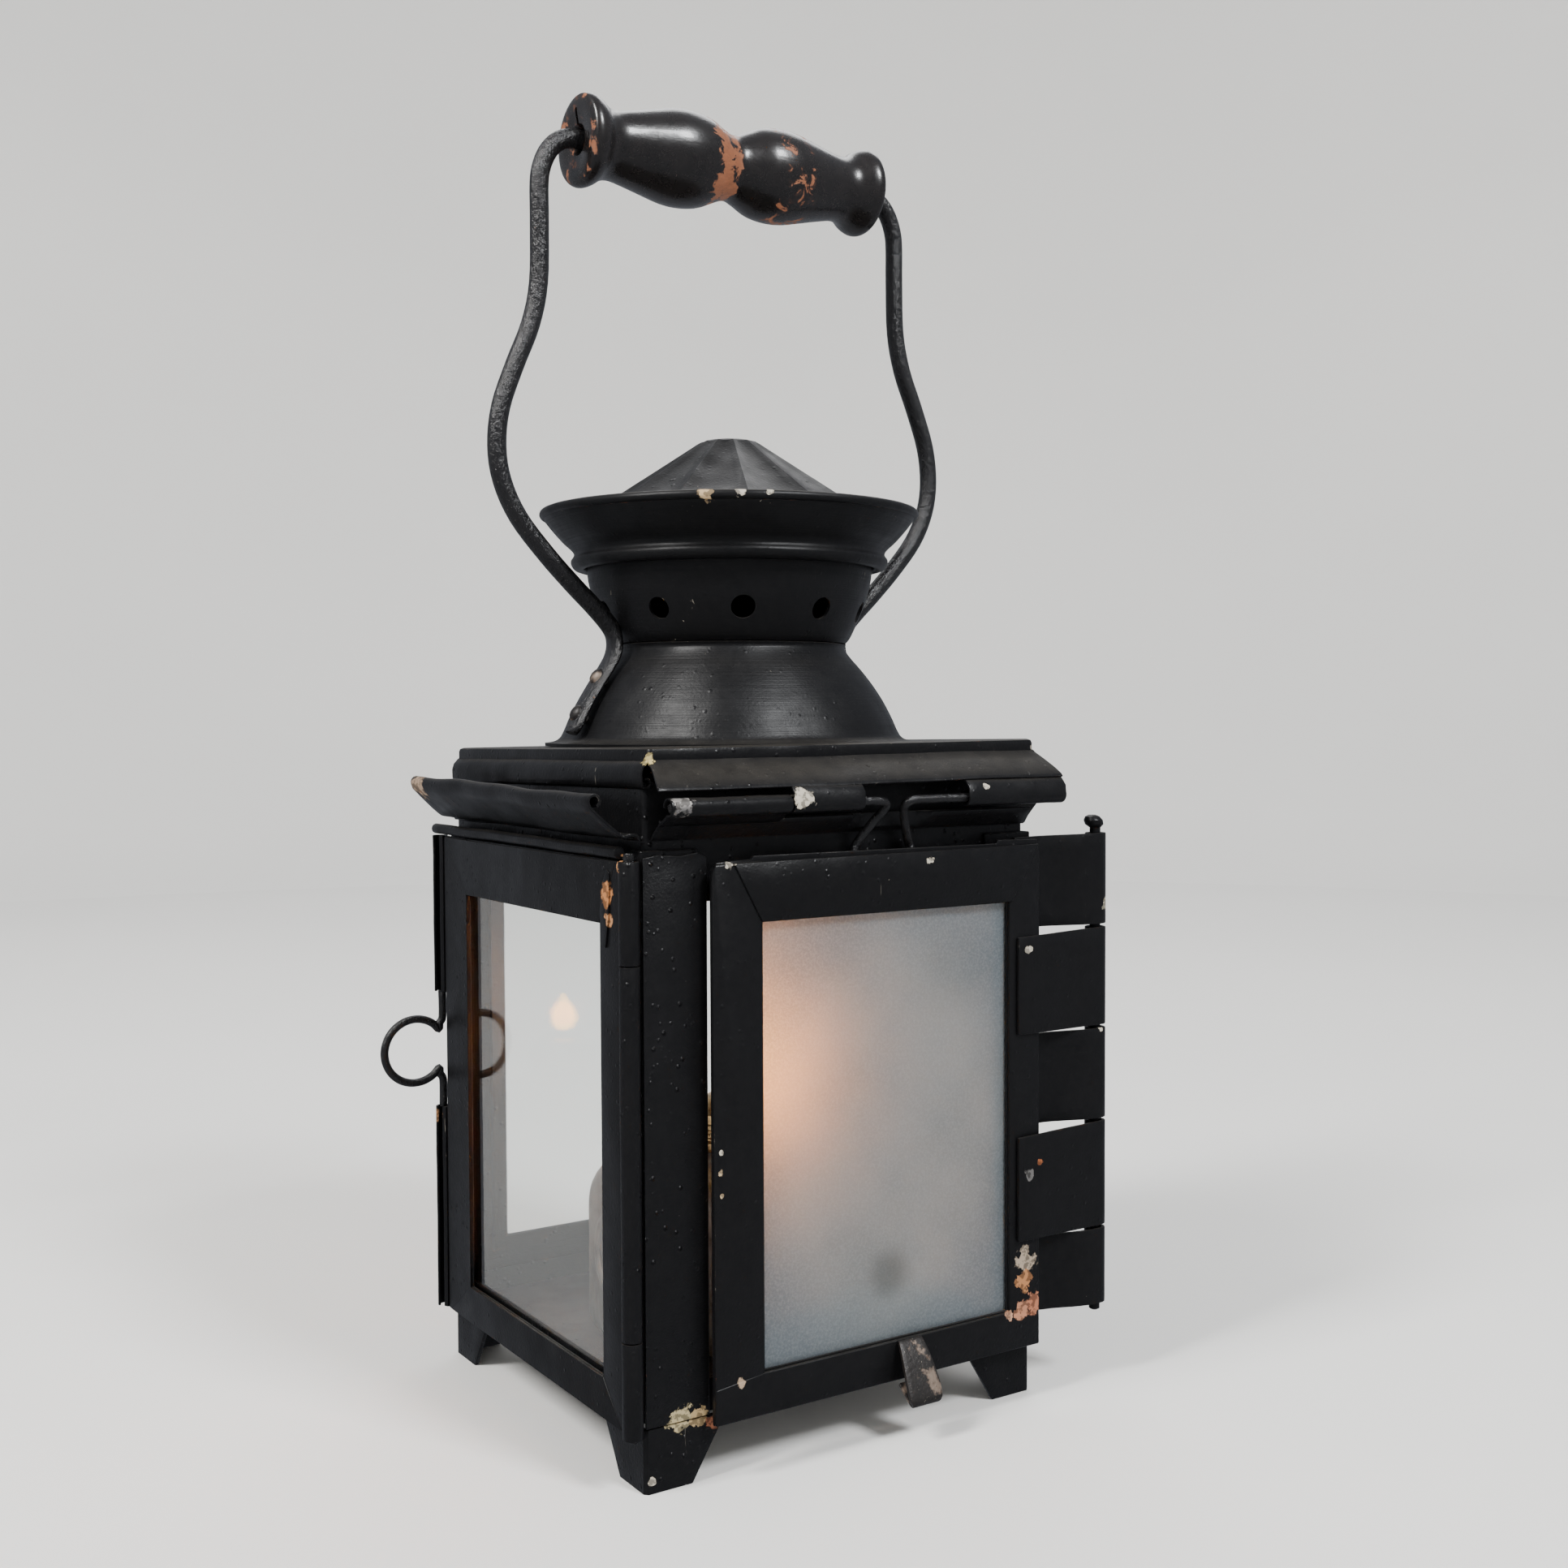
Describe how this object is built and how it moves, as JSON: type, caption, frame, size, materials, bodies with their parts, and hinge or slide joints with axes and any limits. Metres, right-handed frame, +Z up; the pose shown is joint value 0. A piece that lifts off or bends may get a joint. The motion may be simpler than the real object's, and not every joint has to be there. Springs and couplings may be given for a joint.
{
  "type": "hand lantern",
  "caption": "Square sheet-metal hand lantern with a clear glass door, a frosted side panel, a hinged vented roof, a wire bail with a turned wooden grip, and an oil lamp inside.",
  "frame": {"origin": "centre of the whole object's box, on the surface that the feet stand on", "axes": "+Z up, -Y out of the frosted front panel, -X out of the clear glass door, X along the grip"},
  "size_m": [0.1655, 0.1341, 0.3498],
  "materials": {
    "black_paint": "semi-gloss black stove paint over sheet steel, pimpled and chipped at the edges",
    "bail_paint": "satin black paint over steel wire, rubbed near the grip",
    "worn_steel": "dark steel with thin black paint and rust",
    "clear_glass": "clear window glass, green at its edges",
    "frosted_glass": "fine-grained frosted glass, grey-blue",
    "tin": "dull tinplate",
    "brass": "tarnished brass",
    "cotton": "woven cotton wick, charred at its top",
    "painted_wood": "turned wood in worn black lacquer, red-brown where it is rubbed through"
  },
  "bodies": {
    "root": {"back_frame": "black_paint", "back_glass": "clear_glass", "base_pan": "black_paint", "body_leaf_1": "black_paint", "body_leaf_2": "black_paint", "body_leaf_3": "black_paint", "collar_back": "black_paint", "collar_front": "black_paint", "collar_knuckle": "black_paint", "collar_left": "black_paint", "collar_right": "black_paint", "foot_back_left": "black_paint", "foot_back_right": "black_paint", "foot_front_left": "black_paint", "foot_front_right": "black_paint", "front_hinge_pin": "black_paint", "left_hinge_knuckle": "black_paint", "left_hinge_pin": "worn_steel", "post_back_left": "black_paint", "post_back_right": "black_paint", "post_front_left": "black_paint", "post_front_right": "black_paint", "roof_hinge_wire": "worn_steel", "side_wall_right": "black_paint", "upper_band": "black_paint"},
    "roof": {"roof_plate": "black_paint", "roof_knuckle_left": "black_paint", "roof_knuckle_right": "black_paint", "dome": "black_paint", "vent_cup": "black_paint", "crown_ring": "black_paint", "cap": "black_paint", "bail": "bail_paint", "rivet_left_lower": "worn_steel", "rivet_left_upper": "worn_steel", "rivet_right_lower": "worn_steel", "rivet_right_upper": "worn_steel"},
    "grip": {"grip": "painted_wood"},
    "left_door": {"left_door_frame": "black_paint", "left_door_glass": "clear_glass", "left_door_top_roll": "black_paint"},
    "door_ring": {"ring_pull": "worn_steel"},
    "front_panel": {"front_panel_frame": "black_paint", "frosted_glass": "frosted_glass", "front_panel_lug": "black_paint", "panel_leaf_1": "black_paint", "panel_leaf_2": "black_paint"},
    "lamp": {"oil_tank": "tin", "tank_collar": "brass", "burner_body": "brass", "burner_gallery": "brass", "wick_tube": "brass"},
    "wick": {"wick": "cotton"},
    "wick_knob": {"wick_shaft": "brass"}
  },
  "joints": [
    {"name": "roof_hinge", "type": "hinge", "parent": "root", "child": "roof", "pos_m": [0, -0.0626, 0.1644], "axis": [1, 0, 0], "range_deg": [0, 105]},
    {"name": "grip_spin", "type": "hinge", "parent": "roof", "child": "grip", "pos_m": [0, 0.0036, 0.337], "axis": [1, 0, 0], "continuous": true},
    {"name": "left_door_hinge", "type": "hinge", "parent": "root", "child": "left_door", "pos_m": [-0.0629, -0.0534, 0.08], "axis": [0, 0, 1], "range_deg": [0, 165]},
    {"name": "door_ring_swivel", "type": "hinge", "parent": "left_door", "child": "door_ring", "pos_m": [-0.0629, 0.0619, 0.09], "axis": [0, 0, 1], "range_deg": [-100, 56]},
    {"name": "front_panel_hinge", "type": "hinge", "parent": "root", "child": "front_panel", "pos_m": [0.081, -0.0571, 0.08], "axis": [0, 0, 1], "range_deg": [0, 180]},
    {"name": "lamp_lift", "type": "slide", "parent": "root", "child": "lamp", "axis": [0, 0, 1], "range_m": [0, 0.06]},
    {"name": "wick_knob_turn", "type": "hinge", "parent": "lamp", "child": "wick_knob", "pos_m": [0, 0.0036, 0.06965], "axis": [0, 1, 0], "range_deg": [-90, 180]},
    {"name": "wick_slide", "type": "slide", "parent": "lamp", "child": "wick", "axis": [0, 0, 1], "range_m": [-0.0023, 0.0047]}
  ],
  "couplings": [
    {"joint": "wick_knob_turn", "follows": "wick_slide", "rad_per_m": 666.67}
  ]
}
